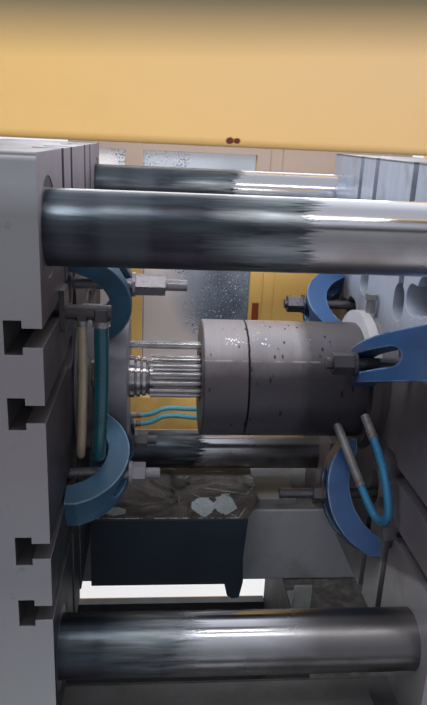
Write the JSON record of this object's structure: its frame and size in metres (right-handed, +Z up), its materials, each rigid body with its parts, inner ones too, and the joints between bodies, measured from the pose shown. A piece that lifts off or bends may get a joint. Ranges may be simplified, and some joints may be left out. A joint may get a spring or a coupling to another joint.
{
  "type": "injection moulding machine clamping unit",
  "caption": "Clamping unit of an injection moulding machine on its bed: tie bars, T-slotted platens, clamped round mould, hoses and sliding guard gates.",
  "frame": {"origin": "on the floor, under the middle of the machine's outline", "axes": "+X along the tie bars towards the fixed platen, +Y to the rear gate, +Z up"},
  "size_m": [1.7, 0.976, 1.7],
  "materials": {
    "bed_cabinet": "satin paint, dirty",
    "bed_pedestal": "satin paint, dirty",
    "bed_front_beam": "machine grey paint, oily",
    "bed_rear_beam": "machine grey paint, oily",
    "bed_sills": "satin paint, dirty",
    "levelling_feet": "bare, dirty",
    "guide_rails": "ground, oily",
    "fixed_platen": "milled face, oily",
    "moving_platen": "milled face, greasy",
    "tail_platen": "painted casting",
    "tie_bar_upper_front": "hard chromed, greasy on the left",
    "tie_bar_upper_rear": "hard chromed, greasy on the left",
    "tie_bar_lower_front": "hard chromed, greasy on the left",
    "tie_bar_lower_rear": "hard chromed, greasy on the left",
    "tie_bar_nuts": "blackened",
    "platen_bushes": "greasy",
    "clamp_cylinder": "grey paint",
    "cylinder_gland": "turned",
    "clamp_ram": "ground, oily",
    "slide_shoes": "greasy",
    "mould_fixed_flange": "turned",
    "mould_cavity_body": "turned, nicked, oily",
    "mould_cavity_ring": "turned, nicked, oily",
    "mould_moving_flange": "turned, oily",
    "mould_core_plate": "turned, oily",
    "mould_core": "polished",
    "mould_clamps_fixed": "blue paint, worn edges",
    "mould_clamps_moving": "blue paint, worn edges",
    "clamp_studs_fixed": "oily",
    "clamp_studs_moving": "oily",
    "drip_tray": "dirty, oily",
    "rubber_curtain": "matt, oily",
    "hose_yellow": "yellowed",
    "hose_teal": "glossy",
    "hose_rear": "glossy",
    "hose_blue": "glossy",
    "hose_manifold": "oily",
    "hose_elbows": "oily",
    "hose_nipples": "oily",
    "top_front_cover": "satin paint",
    "clamp_housing": "satin paint",
    "guard_frame": "satin paint",
    "gate_tracks": "grey paint",
    "rear_gate": "satin paint, dirty",
    "rear_gate_window": "splashed",
    "rear_gate_latch": "red-brown",
    "rear_gate_rollers": "turned",
    "front_gate": "satin paint, dirty",
    "front_gate_window": "scratched"
  },
  "bodies": {
    "machine_base": {"bed_cabinet": "bed_cabinet", "bed_pedestal": "bed_pedestal", "bed_front_beam": "bed_front_beam", "bed_rear_beam": "bed_rear_beam", "bed_sills": "bed_sills", "levelling_feet": "levelling_feet", "guide_rails": "guide_rails", "fixed_platen": "fixed_platen", "tail_platen": "tail_platen", "tie_bar_upper_front": "tie_bar_upper_front", "tie_bar_upper_rear": "tie_bar_upper_rear", "tie_bar_lower_front": "tie_bar_lower_front", "tie_bar_lower_rear": "tie_bar_lower_rear", "tie_bar_nuts": "tie_bar_nuts", "clamp_cylinder": "clamp_cylinder", "cylinder_gland": "cylinder_gland", "mould_fixed_flange": "mould_fixed_flange", "mould_cavity_body": "mould_cavity_body", "mould_cavity_ring": "mould_cavity_ring", "mould_clamps_fixed": "mould_clamps_fixed", "clamp_studs_fixed": "clamp_studs_fixed", "hose_blue": "hose_blue", "hose_nipples": "hose_nipples", "top_front_cover": "top_front_cover", "clamp_housing": "clamp_housing", "guard_frame": "guard_frame", "gate_tracks": "gate_tracks", "front_gate": "front_gate", "front_gate_window": "front_gate_window"},
    "moving_platen_unit": {"moving_platen": "moving_platen", "platen_bushes": "platen_bushes", "clamp_ram": "clamp_ram", "slide_shoes": "slide_shoes", "mould_moving_flange": "mould_moving_flange", "mould_core_plate": "mould_core_plate", "mould_core": "mould_core", "mould_clamps_moving": "mould_clamps_moving", "clamp_studs_moving": "clamp_studs_moving", "hose_yellow": "hose_yellow", "hose_teal": "hose_teal", "hose_rear": "hose_rear", "hose_manifold": "hose_manifold", "hose_elbows": "hose_elbows", "drip_tray": "drip_tray", "rubber_curtain": "rubber_curtain"},
    "rear_gate_unit": {"rear_gate": "rear_gate", "rear_gate_window": "rear_gate_window", "rear_gate_latch": "rear_gate_latch", "rear_gate_rollers": "rear_gate_rollers"}
  },
  "joints": [
    {"name": "moving_platen_slide", "type": "slide", "parent": "machine_base", "child": "moving_platen_unit", "axis": [1, 0, 0], "range_m": [-0.2, 0.105]},
    {"name": "rear_gate_slide", "type": "slide", "parent": "machine_base", "child": "rear_gate_unit", "axis": [1, 0, 0], "range_m": [-0.6, 0]}
  ]
}
